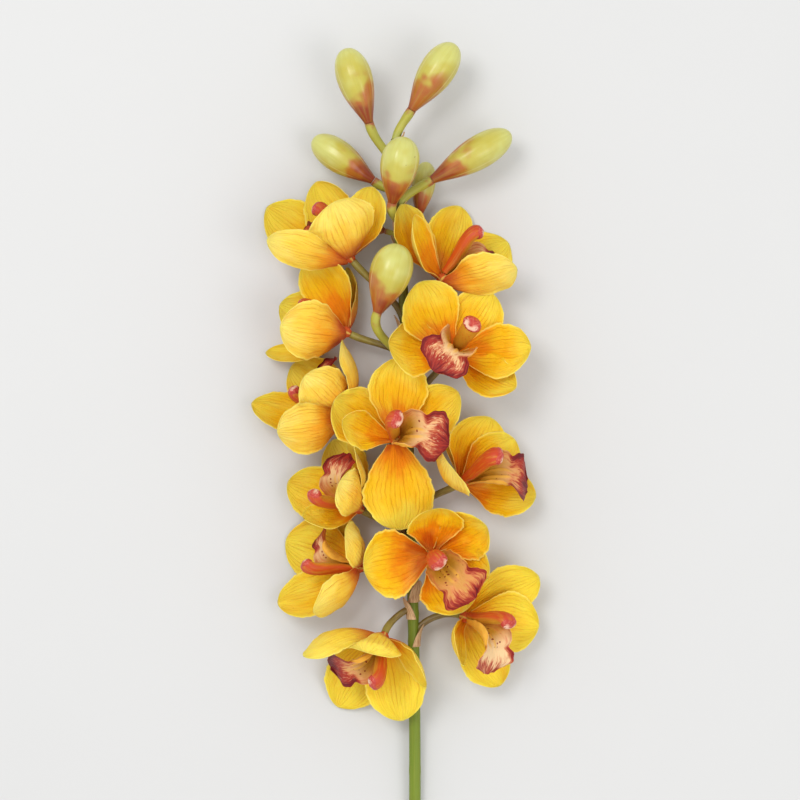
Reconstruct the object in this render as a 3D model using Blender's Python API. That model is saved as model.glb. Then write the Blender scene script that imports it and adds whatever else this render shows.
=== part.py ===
"""A cut stem of cymbidium orchid, lying down: one green stalk with bracts, twelve open blooms and eight buds.

Sizes are in millimetres here and are written to the meshes in metres. The stalk lies along +Y with its cut end at
the low end, +X is to the right, and +Z is up, the way the front blooms look. A direction is a heading in degrees,
counted from +X towards +Y, and a rise above the surface. Tepals, lip and column are separate bodies in each bloom.
"""
import math

import bmesh
import bpy
from mathutils import Matrix, Vector

MM = 0.001
CLEARANCE = 0.35            # air between two pieces that meet
WELD = 0.006                # corners nearer to each other than this become one

TEPAL_WIDTH = 46.0
TEPAL_THICKNESS = 1.0
TEPAL_ROWS = (0.0, 0.22, 0.5, 0.8, 1.0)
TEPAL_COLUMNS = 4
TEPAL_CLAW = 0.15           # width at the base, and where it is widest, as shares
TEPAL_WIDEST = 0.6
SEPAL_SEAT = 4.6            # how far up the hub the outer and the inner tepals grow out
PETAL_SEAT = 6.2
SEAT_RADIUS = 3.2           # how far from the middle of the hub they start

HUB_RADIUS = 5.2            # the top of the ovary, that carries the tepals
HUB_LENGTH = 9.0
HUB_SIDES = 6

LIP_THICKNESS = 1.3
LIP_ROWS = (0.0, 0.22, 0.48, 0.66, 0.84, 1.0)
LIP_COLUMNS = 6
LIP_MIDLINE = ((-3.4, 9.4), (-5.0, 26.0), (-13.0, 48.0), (-37.0, 37.0))    # back to front: (dorsal, forward)
LIP_HALF_WIDTH = ((0.0, 4.0), (0.1, 7.5), (0.25, 13.5), (0.38, 19.0), (0.5, 22.0), (0.58, 20.5), (0.66, 16.5),
                  (0.82, 21.0), (0.92, 17.5), (1.0, 10.0))
LIP_TURN = ((0.0, 60.0), (0.2, 80.0), (0.38, 82.0), (0.52, 76.0), (0.66, 48.0), (0.82, 26.0), (1.0, -15.0))

# the room that lip and column take in a bloom: forward, dorsal top and bottom, half width sideways
THROAT = ((8.5, 0.1, -0.1, 0.1), (15.0, 9.5, -9.5, 10.0), (30.0, 16.0, -24.0, 24.0), (40.0, 18.5, -43.0, 25.0),
          (70.0, 18.5, -43.0, 25.0))

COLUMN_PATH = ((2.4, 9.4), (3.4, 20.0), (6.4, 31.0), (8.4, 41.0), (7.6, 47.0), (5.6, 49.5))
COLUMN_RADII = (2.7, 4.2, 5.2, 6.0, 5.4, 3.0)
COLUMN_SIDES = 6

STALK_PATH = (
    (0.0, 0.0, 4.3), (0.8, 60.0, 6.0), (0.8, 120.0, 10.0), (0.2, 180.0, 15.0), (-1.0, 240.0, 19.0), (-2.6, 300.0, 21.0),
    (-4.2, 360.0, 22.5), (-5.8, 420.0, 23.5), (-8.2, 464.0, 24.5), (-10.4, 500.0, 26.0), (-13.0, 540.0, 28.0),
    (-14.2, 578.0, 30.0),
)
STALK_RADIUS = 4.6
STALK_TOP_RADIUS = 3.6
STALK_SIDES = 8
PEDICEL_RADIUS = 2.6
BUD_PEDICEL_RADIUS = 3.3
PEDICEL_SIDES = 6
BRACT_THICKNESS = 0.8
BUD_SIDES = 8

GREEN = (0.25, 0.33, 0.045, 1.0)
YELLOW = (0.93, 0.58, 0.03, 1.0)
CRIMSON = (0.55, 0.09, 0.08, 1.0)
PINK = (0.72, 0.16, 0.14, 1.0)
LIME = (0.52, 0.50, 0.10, 1.0)


def tepal(heading, rise, length, width=TEPAL_WIDTH, show=0.0, belly=0.24, tip_belly=0.2, cup=38.0, fold=(0.0, 0.0),
          inner=False, wave=1.0):
    """One sepal or petal: where its tip points, its size, and which face it turns up (show: 1 inside, -1 outside)."""
    return {"heading": heading, "rise": rise, "length": length, "width": width, "show": show, "belly": belly,
            "tip_belly": tip_belly, "cup": cup, "fold": fold, "inner": inner, "wave": wave}


# hub: where the pedicel ends; faces: the way the bloom looks; back: the side of its column; leaves: where the
# pedicel leaves the stalk, as a length along it
BLOOMS = {
    "bloom_01": {"hub": (-46.0, 485.0, 31.0), "faces": (131, 8), "back": (41, 34), "leaves": 432, "lip": 0.95, "tepals": (
        tepal(108, 43, 63, 60, show=-0.6, inner=True), tepal(72, 4, 58, 43, show=0.55, inner=True),
        tepal(115, -19, 72, 47, show=0.5, fold=(0, 60)), tepal(147, -20, 84, 45, show=0.6),
        tepal(167, 16, 68, 32, show=-0.8))},
    "bloom_02": {"hub": (18.5, 469.0, 24.4), "faces": (44, 8), "back": (134, 20), "leaves": 452, "tepals": (
        tepal(118, 8, 66, 42, show=0.5), tepal(117, 34, 60, 50, show=0.35, inner=True),
        tepal(75, -16, 64, 42, show=0.7), tepal(30, -24, 68, 44, show=0.6, inner=True),
        tepal(11, 20, 62, 38, show=-0.6))},
    "bloom_03": {"hub": (-48.0, 430.0, 24.0), "faces": (156, 8), "back": (66, 32), "leaves": 404, "lip": 0.7, "tepals": (
        tepal(117, 0, 66, 52, show=0.5, inner=True), tepal(92, -18, 54, 34),
        tepal(175, 34, 62, 46, show=-0.7, inner=True), tepal(157, -26, 66, 42, show=0.5),
        tepal(192, -14, 68, 34))},
    "bloom_04": {"hub": (28.5, 414.0, 33.0), "faces": (60, 66), "back": (50, -10), "leaves": 362, "tepals": (
        tepal(117, 14, 62, 54, inner=True), tepal(170, 24, 54, 52, fold=(0, 50)),
        tepal(57, 0, 56, 46), tepal(4, 14, 62, 48, inner=True), tepal(-29, 20, 58, 40, fold=(70, 0)))},
    "bloom_05": {"hub": (-49.0, 367.0, 26.0), "faces": (147, 6), "back": (237, -14), "leaves": 335, "lip": 0.85, "tepals": (
        tepal(94, 18, 60, 32, show=-0.1), tepal(136, 40, 57, 42, show=-0.6, inner=True),
        tepal(138, -22, 64, 46, show=0.6), tepal(173, -8, 76, 40, show=0.4, inner=True),
        tepal(193, 20, 58, 44, show=-0.7))},
    "bloom_06": {"hub": (-15.0, 349.0, 36.0), "faces": (60, 70), "back": (158, 8), "leaves": 305, "tepals": (
        tepal(86, 6, 64, 48, belly=0.08, inner=True), tepal(147, 12, 56, 50),
        tepal(160, 34, 52, 34, fold=(0, 60), inner=True), tepal(37, 10, 62, 42),
        tepal(274, 4, 68, 54, show=0.4, cup=10, belly=0.05, tip_belly=-0.05))},
    "bloom_07": {"hub": (34.0, 316.0, 28.0), "faces": (30, 38), "back": (146, 34), "leaves": 286, "tepals": (
        tepal(66, 4, 56, 50, show=0.5), tepal(38, -8, 54, 42, show=0.6, inner=True),
        tepal(125, 66, 54, 48, show=-0.5, inner=True), tepal(-10, -8, 60, 42, show=0.4),
        tepal(92, -30, 46, 38))},
    "bloom_08": {"hub": (-39.0, 296.0, 27.0), "faces": (150, 34), "back": (240, 10), "leaves": 267, "lip": 0.85, "tepals": (
        tepal(112, -22, 62, 42, show=0.5), tepal(99, 16, 56, 42, show=-0.3, inner=True),
        tepal(160, -12, 62, 44, show=0.5), tepal(186, 16, 46, 34), tepal(124, 56, 52, 36, show=-0.4, inner=True))},
    "bloom_09": {"hub": (-38.0, 252.0, 26.0), "faces": (168, 14), "back": (258, 30), "leaves": 240, "lip": 0.8, "tepals": (
        tepal(161, -22, 68, 52, show=0.6), tepal(204, -8, 72, 44, show=0.4),
        tepal(108, 46, 48, 38, show=-0.2, inner=True), tepal(222, 32, 56, 42, show=-0.4, inner=True),
        tepal(122, -26, 48, 36, show=0.3))},
    "bloom_10": {"hub": (13.0, 264.0, 38.0), "faces": (-40, 75), "back": (134, 10), "leaves": 230, "tepals": (
        tepal(84, 38, 48, 46, inner=True), tepal(191, 14, 54, 58), tepal(30, 24, 52, 46, inner=True),
        tepal(-62, 20, 52, 50), tepal(-20, 14, 48, 42))},
    "bloom_11": {"hub": (36.0, 216.0, 26.0), "faces": (-15, 44), "back": (75, 10), "leaves": 196, "lip": 0.95, "tepals": (
        tepal(28, 0, 66, 42, show=0.6), tepal(60, -18, 38, 38, show=0.3), tepal(-8, -8, 60, 52, show=0.6, inner=True),
        tepal(-97, 46, 46, 36, show=-0.2, inner=True), tepal(-62, -8, 62, 42, show=0.5))},
    "bloom_12": {"hub": (-22.0, 203.0, 29.0), "faces": (247, 40), "back": (355, 20), "leaves": 217, "lip": 0.9, "tepals": (
        tepal(193, 20, 66, 42, show=-0.5), tepal(214, 66, 44, 48, show=-0.3, inner=True),
        tepal(-46, 26, 54, 44, show=-0.2, inner=True), tepal(238, -22, 74, 50, show=0.5),
        tepal(-78, -4, 68, 50, show=0.7))},
}

# base and tip of each bud, its largest radius, and where its pedicel leaves the stalk
BUDS = {
    "bud_01": {"base": (-34.0, 590.0, 34.0), "tip": (-52.0, 645.0, 38.0), "radius": 13.4, "leaves": 549},
    "bud_02": {"base": (-1.5, 600.0, 33.0), "tip": (31.0, 648.5, 38.0), "radius": 13.2, "leaves": 572},
    "bud_03": {"base": (-31.0, 547.0, 24.0), "tip": (-76.5, 579.0, 18.0), "radius": 12.4, "leaves": 532},
    "bud_04": {"base": (-16.0, 529.0, 46.0), "tip": (-7.0, 576.0, 62.0), "radius": 14.2, "leaves": 511},
    "bud_05": {"base": (14.0, 547.0, 31.0), "tip": (73.5, 582.0, 28.0), "radius": 12.6, "leaves": 521},
    "bud_06": {"base": (4.0, 521.0, 13.0), "tip": (10.0, 562.0, 13.0), "radius": 9.0, "leaves": 502},
    "bud_07": {"base": (-27.0, 446.5, 50.0), "tip": (-10.5, 496.0, 60.0), "radius": 15.6, "leaves": 400},
    "bud_08": {"base": (-22.0, 509.0, 18.0), "tip": (-40.0, 514.0, 11.0), "radius": 7.0, "leaves": 495},
}
BUD_SWELL = ((0.0, 0.28), (0.1, 0.55), (0.27, 0.86), (0.5, 1.0), (0.74, 0.92), (0.92, 0.58), (1.0, 0.16))


def direction(heading, rise):
    """The unit vector of a heading and a rise, both in degrees."""
    flat = math.cos(math.radians(rise))
    return Vector((flat * math.cos(math.radians(heading)), flat * math.sin(math.radians(heading)),
                   math.sin(math.radians(rise))))


def across(vector, axis):
    """The part of a vector that is square to the axis, as a unit vector."""
    return (vector - axis * vector.dot(axis)).normalized()


def profile(points, t):
    """A value between listed (position, value) pairs, eased so that the outline has no corners."""
    for (t0, v0), (t1, v1) in zip(points, points[1:]):
        if t <= t1:
            s = (t - t0) / (t1 - t0)
            return v0 + (v1 - v0) * s * s * (3 - 2 * s)
    return points[-1][1]


def bezier(p0, p1, p2, p3, t):
    """A point on a cubic Bezier curve."""
    s = 1 - t
    return p0 * s ** 3 + p1 * (3 * s * s * t) + p2 * (3 * s * t * t) + p3 * t ** 3


def material(name, color, roughness):
    """A plain Principled material."""
    made = bpy.data.materials.new(name)
    made.use_nodes = True
    shader = made.node_tree.nodes["Principled BSDF"]
    shader.inputs["Base Color"].default_value = color
    shader.inputs["Roughness"].default_value = roughness
    shader.inputs["Metallic"].default_value = 0.0
    return made


def new_object(name, mesh, surface=None):
    """An object for a mesh, linked to the scene."""
    made = bpy.data.objects.new(name, mesh)
    bpy.context.scene.collection.objects.link(made)
    if surface:
        mesh.materials.append(surface)
    return made


def rest_on_table(point):
    """Bends what would sink below the surface up onto it."""
    soft = 1.5
    height = soft * math.log1p(math.exp(min(point.z / soft, 40.0))) if point.z < 60 else point.z
    return Vector((point.x, point.y, height))


def face_outwards(bm):
    """Turns all faces of a closed body outwards."""
    bmesh.ops.recalc_face_normals(bm, faces=bm.faces[:])
    if bm.calc_volume(signed=True) < 0:
        bmesh.ops.reverse_faces(bm, faces=bm.faces[:])


def sheet(name, place, rows, columns, thickness):
    """A thin closed leaf. place(u, t) is its middle surface: u runs across it, -1 to 1, and t along it, 0 to 1."""
    step = 0.01

    def shifted(u, t, side):
        run = place(u, min(t + step, 1.0)) - place(u, max(t - step, 0.0))
        width = place(min(u + step, 1.0), t) - place(max(u - step, -1.0), t)
        return place(u, t) + width.cross(run).normalized() * (side * thickness / 2)

    bm = bmesh.new()
    bmesh.ops.create_grid(bm, x_segments=columns, y_segments=len(rows) - 1, size=1.0)
    bmesh.ops.triangulate(bm, faces=bm.faces[:])
    top = bmesh.ops.extrude_face_region(bm, geom=bm.faces[:])["geom"]
    upper = {item for item in top if isinstance(item, bmesh.types.BMVert)}
    for vert in bm.verts:
        row = round((vert.co.y + 1) / 2 * (len(rows) - 1))
        vert.co = shifted(vert.co.x, rows[row], 1 if vert in upper else -1) * MM
    face_outwards(bm)
    mesh = bpy.data.meshes.new(name)
    bm.to_mesh(mesh)
    bm.free()
    return new_object(name, mesh)


def tube(name, points, radii, sides):
    """A closed round body along a line of points."""
    curve = bpy.data.curves.new(name, "CURVE")
    curve.dimensions = "3D"
    curve.bevel_depth = MM
    curve.bevel_resolution = (sides - 4) // 2
    curve.use_fill_caps = True
    spline = curve.splines.new("POLY")
    spline.points.add(len(points) - 1)
    for item, point, radius in zip(spline.points, points, radii):
        item.co = (*(Vector(point) * MM), 1.0)
        item.radius = radius
    holder = bpy.data.objects.new(name, curve)
    bpy.context.scene.collection.objects.link(holder)
    bpy.context.view_layer.update()
    mesh = bpy.data.meshes.new_from_object(holder.evaluated_get(bpy.context.evaluated_depsgraph_get()))
    bpy.data.objects.remove(holder)
    bm = bmesh.new()
    bm.from_mesh(mesh)
    bmesh.ops.remove_doubles(bm, verts=bm.verts[:], dist=1e-6)
    face_outwards(bm)
    bm.to_mesh(mesh)
    bm.free()
    mesh.materials.clear()
    return new_object(name, mesh)


def drop_scraps(bm):
    """Keeps the largest body: a loose scrap goes, and so does the wall of a sealed hollow, which fills it."""
    left = set(bm.verts)
    bodies = []
    while left:
        body = {left.pop()}
        edge = list(body)
        while edge:
            vert = edge.pop()
            near = {link.other_vert(vert) for link in vert.link_edges} - body
            body |= near
            edge.extend(near)
        left -= body
        bodies.append(body)
    bodies.sort(key=len)
    bmesh.ops.delete(bm, geom=[vert for body in bodies[:-1] for vert in body], context="VERTS")


def fuse(base, parts, surface):
    """Joins the parts to the base as one body with a single union."""
    group = bpy.data.collections.new(base.name + "_parts")
    bpy.context.scene.collection.children.link(group)
    for item in parts:
        bpy.context.scene.collection.objects.unlink(item)
        group.objects.link(item)
    union = base.modifiers.new("union", "BOOLEAN")
    union.operation = "UNION"
    union.operand_type = "COLLECTION"
    union.solver = "MANIFOLD"
    union.collection = group
    bpy.context.view_layer.update()
    mesh = bpy.data.meshes.new_from_object(base.evaluated_get(bpy.context.evaluated_depsgraph_get()))
    base.modifiers.remove(union)
    base.data = mesh
    for item in parts:
        bpy.data.objects.remove(item)
    bpy.data.collections.remove(group)
    mesh.materials.clear()
    mesh.materials.append(surface)
    bm = bmesh.new()
    bm.from_mesh(mesh)
    bmesh.ops.remove_doubles(bm, verts=bm.verts[:], dist=WELD * MM)
    drop_scraps(bm)
    bmesh.ops.dissolve_verts(bm, verts=[vert for vert in bm.verts if len(vert.link_edges) == 2])
    bmesh.ops.triangulate(bm, faces=bm.faces[:])
    bm.to_mesh(mesh)
    bm.free()
    return base


def bloom_axes(spec):
    """The bloom's own axes: sideways, dorsal and forward."""
    forward = direction(*spec["faces"])
    dorsal = across(direction(*spec["back"]), forward)
    return dorsal.cross(forward), dorsal, forward


def clear_of_throat(spec, point):
    """Moves a point of a tepal outwards where lip and column stand."""
    sideways, dorsal, forward = bloom_axes(spec)
    offset = point - Vector(spec["hub"])
    size = spec.get("lip", 1.0)
    ahead = offset.dot(forward)
    if ahead <= THROAT[0][0]:
        return point
    top, bottom, wide = (profile([(row[0], row[k]) for row in THROAT], ahead) for k in (1, 2, 3))
    bottom = bottom * (0.6 * size + 0.4)
    wide = max(wide * size, min(wide, 9.0))
    tall = (top - bottom) / 2
    x, y = offset.dot(sideways), offset.dot(dorsal) - (top + bottom) / 2
    reach = max(math.hypot(x / wide, y / tall), 0.05)
    grow = (reach ** 5 + 1) ** 0.2 / reach - 1
    return point + sideways * (x * grow) + dorsal * (y * grow)


def tepal_outline(t):
    """Half width of a tepal as a share of its largest, from the claw to the round end."""
    if t < TEPAL_WIDEST:
        return TEPAL_CLAW + (1 - TEPAL_CLAW) * math.sin(math.pi / 2 * t / TEPAL_WIDEST) ** 1.1
    return 0.34 + 0.66 * math.sqrt(max(1 - ((t - TEPAL_WIDEST) / (1 - TEPAL_WIDEST)) ** 2, 0.0))


def tepal_surface(spec, leaf):
    """The middle surface of one tepal as a function of u and t."""
    forward = direction(*spec["faces"])
    chord = direction(leaf["heading"], leaf["rise"])
    inward = across(forward, chord)
    show = leaf["show"]
    inward = across(inward * (1 - abs(show)) + Vector((0, 0, show)), chord)
    seat = PETAL_SEAT if leaf["inner"] else SEPAL_SEAT
    root = Vector(spec["hub"]) + forward * seat
    outward = across(chord, forward) * SEAT_RADIUS
    length = leaf["length"] - seat * max(chord.dot(forward), 0)
    cup = math.radians(leaf["cup"])
    open_angle = math.degrees(chord.angle(forward))
    belly = min(leaf["belly"], math.tan(math.radians(max(97 - open_angle, 0))) / 3)
    steps = 8

    def place(u, t):
        s = 1 - t
        dip = -3 * length * (belly * t * s * s + leaf["tip_belly"] * t * t * s)
        slope = -3 * (belly * (s * s - 2 * t * s) + leaf["tip_belly"] * (2 * t * s - t * t))
        along = (chord + inward * slope).normalized()
        normal = across(inward, along)
        side = along.cross(normal)
        half = leaf["width"] / 2 * tepal_outline(t)
        fold = math.radians(leaf["fold"][0 if u < 0 else 1])
        x = y = 0.0
        for i in range(steps):
            a = abs(u) * (i + 0.5) / steps
            turn = cup * a + fold * max(a - 0.35, 0.0) * 1.6 * t
            x += math.cos(turn) * abs(u) / steps * half
            y += math.sin(turn) * abs(u) / steps * half
        ripple = leaf["wave"] * u * u * t * math.sin(9.0 * t + leaf["heading"])
        point = root + chord * (length * (t - 0.09 * u * u * t ** 4)) + inward * dip
        point = point + side * math.copysign(x, u) + normal * (y + ripple)
        return rest_on_table(clear_of_throat(spec, point + outward * (s * s)))

    return place


def lip_surface(spec):
    """The middle surface of the lip: a narrow claw, two raised side lobes, and the turned-down front lobe."""
    sideways, dorsal, forward = bloom_axes(spec)
    hub = Vector(spec["hub"])
    size = spec.get("lip", 1.0)
    path = [Vector(point) for point in LIP_MIDLINE]

    def place(u, t):
        mid = bezier(*path, t)
        ahead = (bezier(*path, min(t + 0.01, 1.0)) - bezier(*path, max(t - 0.01, 0.0))).normalized()
        half = profile(LIP_HALF_WIDTH, t)
        turn = math.radians(profile(LIP_TURN, t)) or 1e-4
        x = half / turn * math.sin(turn * u)
        y = half / turn * (1 - math.cos(turn * u))
        frill = 1.8 * u * u * max(t - 0.6, 0.0) * 2.5 * math.sin(17 * t + 3 * u)
        mid = mid + Vector((ahead.y, -ahead.x)) * (y + frill)
        mid = mid - ahead * (2.2 * u * u * t ** 6)
        run = path[0].y + (mid.y - path[0].y) * size
        return rest_on_table(hub + sideways * (x * size) + dorsal * (mid.x * (0.6 * size + 0.4)) + forward * run)

    return place


def make_bloom(name, spec, surfaces):
    """The tepals on their hub, the lip, and the column of one bloom."""
    sideways, dorsal, forward = bloom_axes(spec)
    hub = Vector(spec["hub"])
    rings = ((CLEARANCE, 0.55), (2.6, 0.9), (6.0, 1.0), (HUB_LENGTH - CLEARANCE, 0.75))
    body = tube(name + "_tepals", [hub + forward * z for z, _ in rings], [HUB_RADIUS * r for _, r in rings], HUB_SIDES)
    leaves = [sheet(f"{name}_leaf_{i}", tepal_surface(spec, leaf), TEPAL_ROWS, TEPAL_COLUMNS, TEPAL_THICKNESS)
              for i, leaf in enumerate(spec["tepals"])]
    fuse(body, leaves, surfaces["tepals"])
    lip = sheet(name + "_lip", lip_surface(spec), LIP_ROWS, LIP_COLUMNS, LIP_THICKNESS)
    lip.data.materials.append(surfaces["lip"])
    size = 0.5 + 0.5 * spec.get("lip", 1.0)
    start = COLUMN_PATH[0][1]
    path = [hub + dorsal * (y * size) + forward * (start + (z - start) * size) for y, z in COLUMN_PATH]
    column = tube(name + "_column", path, [radius * size for radius in COLUMN_RADII], COLUMN_SIDES)
    column.data.materials.append(surfaces["column"])


def bud_line(spec):
    """The middle line of a bud, bent a little."""
    base, tip = Vector(spec["base"]), Vector(spec["tip"])
    axis = tip - base
    bend = across(Vector((0, 0, 1)), axis.normalized()) * (0.06 * axis.length)
    return [base + axis * t + bend * math.sin(math.pi * t) for t, _ in BUD_SWELL]


def make_bud(name, spec, surface):
    """A bud: a long egg that is slim where it joins its pedicel."""
    bud = tube(name, bud_line(spec), [spec["radius"] * r for _, r in BUD_SWELL], BUD_SIDES)
    bud.data.materials.append(surface)


def stalk_at(distance):
    """The point of the stalk at a length along Y, its direction there, and its radius."""
    for low, high in zip(STALK_PATH, STALK_PATH[1:]):
        if distance <= high[1]:
            break
    share = (distance - low[1]) / (high[1] - low[1])
    low, high = Vector(low), Vector(high)
    radius = STALK_RADIUS + (STALK_TOP_RADIUS - STALK_RADIUS) * distance / STALK_PATH[-1][1]
    return low.lerp(high, share), (high - low).normalized(), radius


def pedicel(name, leaves, end, arrive, radius):
    """The small stalk from the main one to a bloom or a bud, which it reaches along its axis."""
    start, up, _ = stalk_at(leaves)
    reach = (end - start).length
    neck = end - arrive * 3.0
    path = (start, start + up * reach * 0.35, neck - arrive * reach * 0.35, neck)
    points = [bezier(*path, t) for t in (0.0, 0.3, 0.65, 1.0)] + [end]
    return tube(name, points, [radius * 1.1, radius, radius, radius * 1.05, radius * 1.1], PEDICEL_SIDES)


def bract(name, leaves, end, length=16.0, width=9.0):
    """The dry scale under a pedicel: a pointed leaf that leaves the stalk beside it."""
    start, up, radius = stalk_at(leaves - 3)
    out = across(end - start, up)
    side = up.cross(out)

    def place(u, t):
        half = width / 2 * (1 - t) ** 0.6 + 0.5
        lift = radius * (0.1 + 0.95 * t ** 0.5) + length * 0.3 * t * t - abs(u) * radius * 0.5 * (1 - t)
        return start + up * (length * t) + out * lift + side * (u * half)

    return sheet(name, place, (0.0, 0.5, 1.0), 2, BRACT_THICKNESS)


def make_stem(surface):
    """The stalk with its cut end, every pedicel and every bract, as one body."""
    radii = [stalk_at(point[1])[2] for point in STALK_PATH]
    stem = tube("stem", STALK_PATH, radii, STALK_SIDES)
    parts = []
    for name, spec in BLOOMS.items():
        forward = direction(*spec["faces"])
        end = Vector(spec["hub"])
        parts.append(pedicel(name + "_pedicel", spec["leaves"], end, forward, PEDICEL_RADIUS))
        parts.append(bract(name + "_bract", spec["leaves"], end))
    for name, spec in BUDS.items():
        end, ahead = bud_line(spec)[:2]
        arrive = (ahead - end).normalized()
        radius = min(BUD_PEDICEL_RADIUS, 0.28 * spec["radius"])
        parts.append(pedicel(name + "_pedicel", spec["leaves"], end - arrive * CLEARANCE, arrive, radius))
        parts.append(bract(name + "_bract", spec["leaves"], end, 13.0, 8.0))
    fuse(stem, parts, surface)


def centre_on_footprint():
    """Puts the origin under the middle of everything, on the surface that it lies on."""
    things = [item for item in bpy.data.objects if item.type == "MESH"]
    corners = [vert.co for item in things for vert in item.data.vertices]
    middle = [(min(c[i] for c in corners) + max(c[i] for c in corners)) / 2 for i in (0, 1)]
    shift = Vector((-middle[0], -middle[1], -min(c[2] for c in corners)))
    for item in things:
        item.data.transform(Matrix.Translation(shift))


def build():
    """Clears the scene and models the whole stem."""
    for item in list(bpy.data.objects):
        bpy.data.objects.remove(item)
    surfaces = {"tepals": material("tepals", YELLOW, 0.5), "lip": material("lip", CRIMSON, 0.5),
                "column": material("column", PINK, 0.45)}
    for name, spec in BLOOMS.items():
        make_bloom(name, spec, surfaces)
    lime = material("bud", LIME, 0.45)
    for name, spec in BUDS.items():
        make_bud(name, spec, lime)
    make_stem(material("stem", GREEN, 0.5))
    centre_on_footprint()
    for item in bpy.data.objects:
        item.data.shade_smooth()


build()
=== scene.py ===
from math import atan2, copysign, cos, degrees, exp, hypot, log1p, pi, radians, sin, sqrt, tan, tau

import bmesh
import bpy
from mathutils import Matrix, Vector, noise
from mathutils.bvhtree import BVHTree


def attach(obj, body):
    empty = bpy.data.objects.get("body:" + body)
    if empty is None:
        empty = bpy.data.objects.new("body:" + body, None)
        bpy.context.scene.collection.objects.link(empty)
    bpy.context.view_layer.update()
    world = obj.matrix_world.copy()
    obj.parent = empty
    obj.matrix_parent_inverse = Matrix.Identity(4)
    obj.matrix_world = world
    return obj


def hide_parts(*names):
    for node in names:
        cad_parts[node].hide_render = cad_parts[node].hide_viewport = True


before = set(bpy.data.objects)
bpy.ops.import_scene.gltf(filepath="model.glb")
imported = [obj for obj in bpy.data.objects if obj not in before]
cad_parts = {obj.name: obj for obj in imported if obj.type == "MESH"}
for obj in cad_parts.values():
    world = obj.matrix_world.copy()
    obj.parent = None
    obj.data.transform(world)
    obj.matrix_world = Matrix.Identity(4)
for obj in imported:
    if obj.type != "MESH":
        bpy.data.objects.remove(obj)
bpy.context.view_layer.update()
scene = bpy.context.scene

# lengths in the tables are millimetres, counted from the middle of the stalk's cut end;
# a heading is in degrees from +X towards +Y, a rise is the angle above the table
millimetre = 0.001
cutEnd = Vector((0.01415, -0.32477, 0.00039))
upward = Vector((0, 0, 1))


def inFrame(point):
    return point * millimetre + cutEnd


# how leaves that overlap rest on each other: millimetres, and the part of the length over which it starts
drapeShape = {"reach": 11.0, "from": (0.10, 0.30), "gap": 0.9, "rounds": 14, "fade": 0.98, "layers": 6,
              "step": 0.01, "facing": 0.2}


# small shape helpers

def direction(heading, rise):
    flat = cos(radians(rise))
    return Vector((flat * cos(radians(heading)), flat * sin(radians(heading)),
                   sin(radians(rise))))


def across(vector, axis):
    return (vector - axis * vector.dot(axis)).normalized()


def eased(points, t):
    # value between listed (place, value) pairs, without corners
    for (t0, v0), (t1, v1) in zip(points, points[1:]):
        if t <= t1:
            s = (t - t0) / (t1 - t0)
            return v0 + (v1 - v0) * s * s * (3 - 2 * s)
    return points[-1][1]


def softRamp(x, low, high):
    s = min(max((x - low) / (high - low), 0.0), 1.0)
    return s * s * (3 - 2 * s)


def bezier(p0, p1, p2, p3, t):
    s = 1 - t
    return p0 * s ** 3 + p1 * (3 * s * s * t) + p2 * (3 * s * t * t) + p3 * t ** 3


def onCurve(knots, i, s):
    # a smooth curve through all knots: the point at share s of the way from knot i to the next
    a, b = knots[i], knots[i + 1]
    before = knots[i - 1] if i else a * 2 - b
    after = knots[i + 2] if i + 2 < len(knots) else b * 2 - a
    return 0.5 * ((2 * a) + (b - before) * s + (2 * before - 5 * a + 4 * b - after) * s * s
                  + (3 * a - before - 3 * b + after) * s ** 3)


def onTable(point):
    # what would sink into the table bends up onto it
    if point.z > 40:
        return point
    return Vector((point.x, point.y, 1.5 * log1p(exp(point.z / 1.5))))


def waver(x, y, seed):
    return noise.noise(Vector((x, y, seed * 7.31)))


# mesh builders: every piece is one bmesh with a uv map "surface" and point attributes "inner", "tone", "pale"

def startMesh():
    bm = bmesh.new()
    layers = {"uv": bm.loops.layers.uv.new("surface"), "spot": bm.verts.layers.float_vector.new("spot"),
              "lift": bm.verts.layers.float_vector.new("lift"), "inner": bm.verts.layers.float.new("inner"),
              "tone": bm.verts.layers.float.new("tone"), "pale": bm.verts.layers.float.new("pale")}
    return bm, layers


def addSheet(bm, layers, place, columns, rows, thickness, tone=0.0, pale=0.0, innerSide=1.0, below=()):
    # a thin leaf from a grid: place(u, t) is its middle surface, which is draped over what is below and then
    # extruded to both faces; innerSide 1 marks the extruded face as the inner one, 0 the other
    grid = bmesh.ops.create_grid(bm, x_segments=columns, y_segments=rows, size=1.0)["verts"]
    faces = list({face for vert in grid for face in vert.link_faces})
    for vert in grid:
        u, t = vert.co.x, sin((vert.co.y + 1) / 2 * pi / 2)
        vert[layers["spot"]] = Vector((u * 0.5 + 0.5, t, 0.0))
        vert[layers["tone"]] = tone
        vert[layers["pale"]] = pale
        vert[layers["inner"]] = 1 - innerSide
        vert.co = inFrame(place(u, t))
    for tree, lifting in below:
        for face in faces:
            face.normal_update()
        drape(grid, layers, tree, lifting)
    for face in faces:
        face.normal_update()
    for vert in grid:
        normal = sum((face.normal for face in vert.link_faces), Vector())
        u, t, _ = vert[layers["spot"]]
        vert[layers["lift"]] = normal.normalized() * (thickness(abs(2 * u - 1), t) * millimetre / 2)
    made = bmesh.ops.extrude_face_region(bm, geom=faces)["geom"]
    upper = [item for item in made if isinstance(item, bmesh.types.BMVert)]
    for vert in upper:
        vert[layers["inner"]] = innerSide
        vert.co += vert[layers["lift"]]
    for vert in grid:
        vert.co -= vert[layers["lift"]]
    region = list({face for vert in grid + upper for face in vert.link_faces})
    turnOutwards(bm, region)


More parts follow.
